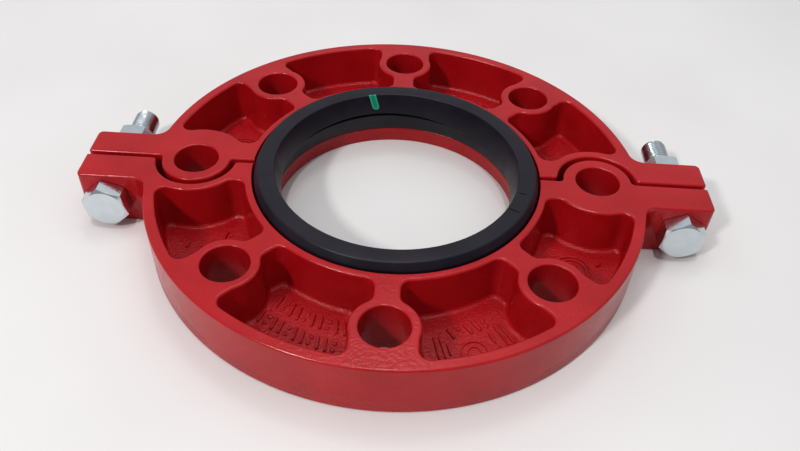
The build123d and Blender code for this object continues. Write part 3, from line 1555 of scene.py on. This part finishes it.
    def mouth_cutter(self, seat: float) -> bpy.types.Object:
        """Cutter for the countersinks at both ends of the nut's bore.

        Args:
            seat: Where the nut's seat is, from the underside of the bolt's head.

        Returns:
            The cutter, two cones on a core that is thinner than the bore.
        """
        past, inside = 1.0, 0.6
        wide, narrow = self.major_radius + self.mouth_flare, self.root_radius - inside
        low, high, deep = seat, seat + self.nut_height, wide - narrow
        return spun("mouths", [
            (0.0, low - past), (wide + past, low - past), (narrow, low + deep),
            (narrow, high - deep), (wide + past, high + past), (0.0, high + past)], self.round_steps)

    def stand_in_place(self, piece: bpy.types.Object, axis_x: float, face_y: float, axis_z: float) -> None:
        """Turn a piece's local Z to +Y and move its origin to the head's seat.

        Args:
            piece: The bolt or nut to place.
            axis_x: Where the bolt's axis is along X, in metres.
            face_y: Where the underside of the head is along Y, in metres.
            axis_z: Height of the bolt's axis, in metres.
        """
        piece.matrix_world = Matrix.Translation((axis_x, face_y, axis_z)) @ Matrix.Rotation(
            math.radians(-90), 4, "X")
        place_in_mesh(piece)


# ---------------------------------------------------------------- studio


@dataclass(frozen=True)
class SoftLight:
    """A square area light that looks at the adapter.

    Attributes:
        name: Name of the light.
        azimuth_deg: Direction from the adapter, from +X towards +Y.
        elevation_deg: Height above the table, as an angle.
        distance: Distance in metres.
        size: Side of the square in metres.
        power: Its power in watts.
        colour: Its colour.
    """

    name: str
    azimuth_deg: float
    elevation_deg: float
    distance: float
    size: float
    power: float
    colour: tuple[float, float, float]

    def hang(self) -> None:
        """Add the light to the scene."""
        flat = math.cos(math.radians(self.elevation_deg))
        height = math.sin(math.radians(self.elevation_deg))
        direction = Vector((*polar(flat, self.azimuth_deg), height))
        data = bpy.data.lights.new(self.name, "AREA")
        data.energy, data.size, data.color = self.power, self.size, self.colour
        light = bpy.data.objects.new(self.name, data)
        bpy.context.collection.objects.link(light)
        light.location = direction * self.distance
        light.rotation_euler = direction.to_track_quat("Z", "Y").to_euler()


@dataclass
class Studio:
    """Floor, soft daylight from behind and above, a weak fill in front, a pale room, and camera."""

    floor_size: float = 6.0
    lights: tuple[SoftLight, ...] = (
        SoftLight("window", 94, 68, 1.6, size=0.30, power=1.6, colour=(1.0, 0.99, 0.97)),
        SoftLight("ceiling", 60, 72, 2.0, size=1.4, power=2.5, colour=(1.0, 1.0, 1.0)),
        SoftLight("left_lamp", 230, 42, 1.7, size=0.16, power=10.5, colour=(1.0, 0.98, 0.96)),
        SoftLight("front_lamp", 264, 76, 1.8, size=0.10, power=5.5, colour=(1.0, 0.99, 0.98)),
    )
    focal_mm: float = 34.348
    sensor_mm: float = 36.0
    room_colour: tuple[float, float, float, float] = (0.95, 0.97, 1.0, 1.0)
    front_strength: float = 0.20
    back_strength: float = 0.60
    front_at: float = -0.6
    back_at: float = 1.0
    depth_share: float = 0.5
    camera_place: tuple[float, float, float] = (0.00523, -0.26637, 0.24081)
    camera_right: tuple[float, float, float] = (0.99825, 0.04517, 0.03834)
    camera_up: tuple[float, float, float] = (-0.05886, 0.68255, 0.72846)

    def build_floor(self) -> None:
        """A plain pale table at the adapter's back face."""
        deselect_everything()
        bpy.ops.mesh.primitive_plane_add(size=self.floor_size)
        floor = bpy.context.object
        floor.name = "table"
        floor.data.materials.append(PaleTable().material())

    def build_room(self) -> None:
        """A pale room: bright overhead and behind the adapter, dimmer in front of it."""
        world = bpy.data.worlds.new("pale_room")
        world.use_nodes = True
        tree = world.node_tree
        place = tree.nodes.new("ShaderNodeTexCoord")
        axes = tree.nodes.new("ShaderNodeSeparateXYZ")
        tree.links.new(place.outputs["Generated"], axes.inputs[0])
        lean = tree.nodes.new("ShaderNodeMath")
        lean.operation = "MULTIPLY_ADD"
        tree.links.new(axes.outputs["Y"], lean.inputs[0])
        lean.inputs[1].default_value = self.depth_share
        tree.links.new(axes.outputs["Z"], lean.inputs[2])
        spread = tree.nodes.new("ShaderNodeMapRange")
        spread.inputs["From Min"].default_value = self.front_at
        spread.inputs["From Max"].default_value = self.back_at
        spread.inputs["To Min"].default_value = self.front_strength
        spread.inputs["To Max"].default_value = self.back_strength
        tree.links.new(lean.outputs[0], spread.inputs["Value"])
        background = tree.nodes["Background"]
        background.inputs["Color"].default_value = self.room_colour
        tree.links.new(spread.outputs["Result"], background.inputs["Strength"])
        bpy.context.scene.world = world

    def build_camera(self) -> None:
        """The camera, from in front and above, held level to within a few degrees."""
        data = bpy.data.cameras.new("camera")
        data.lens, data.sensor_width = self.focal_mm, self.sensor_mm
        data.clip_start, data.clip_end = 0.01, 50
        camera = bpy.data.objects.new("camera", data)
        bpy.context.collection.objects.link(camera)
        right, up = Vector(self.camera_right), Vector(self.camera_up)
        back = right.cross(up)
        turn = Matrix((right, up, back)).transposed().to_4x4()
        camera.matrix_world = Matrix.Translation(self.camera_place) @ turn
        bpy.context.scene.camera = camera

    def build(self) -> None:
        """Build the floor, the lights, the room and the camera."""
        self.build_floor()
        for light in self.lights:
            light.hang()
        self.build_room()
        self.build_camera()
        view = bpy.context.scene.view_settings
        view.view_transform = "Standard"
        view.look = "Medium High Contrast"


# ---------------------------------------------------------------- assembly


def dress(piece: bpy.types.Object, material: bpy.types.Material, body: str, node: str) -> None:
    """Give a piece its finish, its body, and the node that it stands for.

    Args:
        piece: The finished mesh.
        material: Its only material.
        body: The CAD body that it rides on.
        node: The CAD node that it replaces.
    """
    piece.data.materials.clear()
    piece.data.materials.append(material)
    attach(piece, body)
    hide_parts(node)
    LOG.info("%s: %d faces on body %s", piece.name, len(piece.data.polygons), body)


def bar_row(radius: float, first_deg: float, count: int, pitch_deg: float, length: float) -> list[CastMark]:
    """A row of leaning bars, with a pair of dots in every third place.

    Args:
        radius: Distance of the row from the pipe axis.
        first_deg: Direction of its first mark.
        count: How many marks it has.
        pitch_deg: Angle between neighbours.
        length: Length of a bar.

    Returns:
        The marks of the row.
    """
    lean, dot_size, dot_step = 15.0, 1.9, 0.26
    row = []
    for i in range(count):
        angle = first_deg + pitch_deg * i
        if i % 3 == 1:
            for step in (-dot_step, dot_step):
                row.append(CastMark(MarkKind.DOT, radius + step * length, angle, dot_size))
        else:
            row.append(CastMark(MarkKind.BAR, radius, angle, length, lean))
    return row


def cast_marks() -> list[CastMark]:
    """Plain raised marks on the pocket floors: bars, rings and dots, no lettering.

    Returns:
        The marks in the order in which they are raised.
    """
    marks = bar_row(77.5, -124.5, count=10, pitch_deg=2.5, length=6.6)
    marks += bar_row(87.0, -125.0, count=11, pitch_deg=2.2, length=6.4)
    marks += bar_row(94.6, -122.0, count=9, pitch_deg=2.2, length=4.6)
    marks += bar_row(79.0, -71.0, count=5, pitch_deg=2.7, length=5.4)
    for angle, radius, length, step in ((-76.3, 84.8, 10.7, 1.6), (-56.8, 87.0, 11.4, -1.6)):
        marks.append(CastMark(MarkKind.BAR, radius, angle, length, width=0.9))
        marks.append(CastMark(MarkKind.BAR, radius, angle + step, length, width=0.7))
    for angle in (-73.2, -61.0):
        marks.append(CastMark(MarkKind.BAR, 86.5, angle, 5.5, width=0.8))
        marks.append(CastMark(MarkKind.DOT, 91.6, angle, 1.6))
    for radius, angle, diameters in ((90.2, -67.2, (11.4, 6.2)), (86.0, -24.5, (16.4, 12.6, 6.0))):
        marks += [CastMark(MarkKind.RING, radius, angle, diameter, width=0.9) for diameter in diameters]
    for angle, radius, length, lean in (
            (-19.5, 95.5, 3.0, 40.0), (-30.5, 81.0, 3.4, 40.0),
            (-159.1, 94.8, 4.0, 62.0), (-156.6, 90.3, 3.0, 62.0), (-158.5, 79.0, 8.0, 62.0)):
        marks.append(CastMark(MarkKind.BAR, radius, angle, length, lean))
    return marks


def main() -> None:
    """Build every piece round the frame and report it."""
    logging.basicConfig(level=logging.INFO, format="%(message)s")
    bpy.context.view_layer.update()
    Studio().build()

    enamel = RedEnamel().material()
    maker = CastHalf(marks=cast_marks())
    front = maker.build("front_casting")
    rear = maker.turned(front, "rear_casting")
    for half, body in ((front, "front_half"), (rear, "rear_half")):
        smooth_by_angle(half, maker.smooth_deg)
        dress(half, enamel, body, body)

    rubber = BlackRubber().material()
    dress(Gasket().build("gasket_ring"), rubber, "gasket", "gasket")

    zinc = ZincPlate().material()
    fastener = DrawFastener()
    for side, turn in HEAD_TURNS_DEG.items():
        low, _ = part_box(f"{side}_bolt")
        face_y = low.y + fastener.head_height * MM
        bolt = fastener.build_bolt(f"{side}_draw_bolt", turn)
        nut_low, nut_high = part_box(f"{side}_nut")
        axis_x, axis_z = (nut_low.x + nut_high.x) / 2, (nut_low.z + nut_high.z) / 2
        nut = fastener.build_nut(f"{side}_draw_nut", (nut_low.y - face_y) / MM, 0.0)
        for piece, node in ((bolt, f"{side}_bolt"), (nut, f"{side}_nut")):
            fastener.stand_in_place(piece, axis_x, face_y, axis_z)
            smooth_by_angle(piece, fastener.smooth_deg)
            dress(piece, zinc, node, node)


if __name__ == "__main__":
    main()
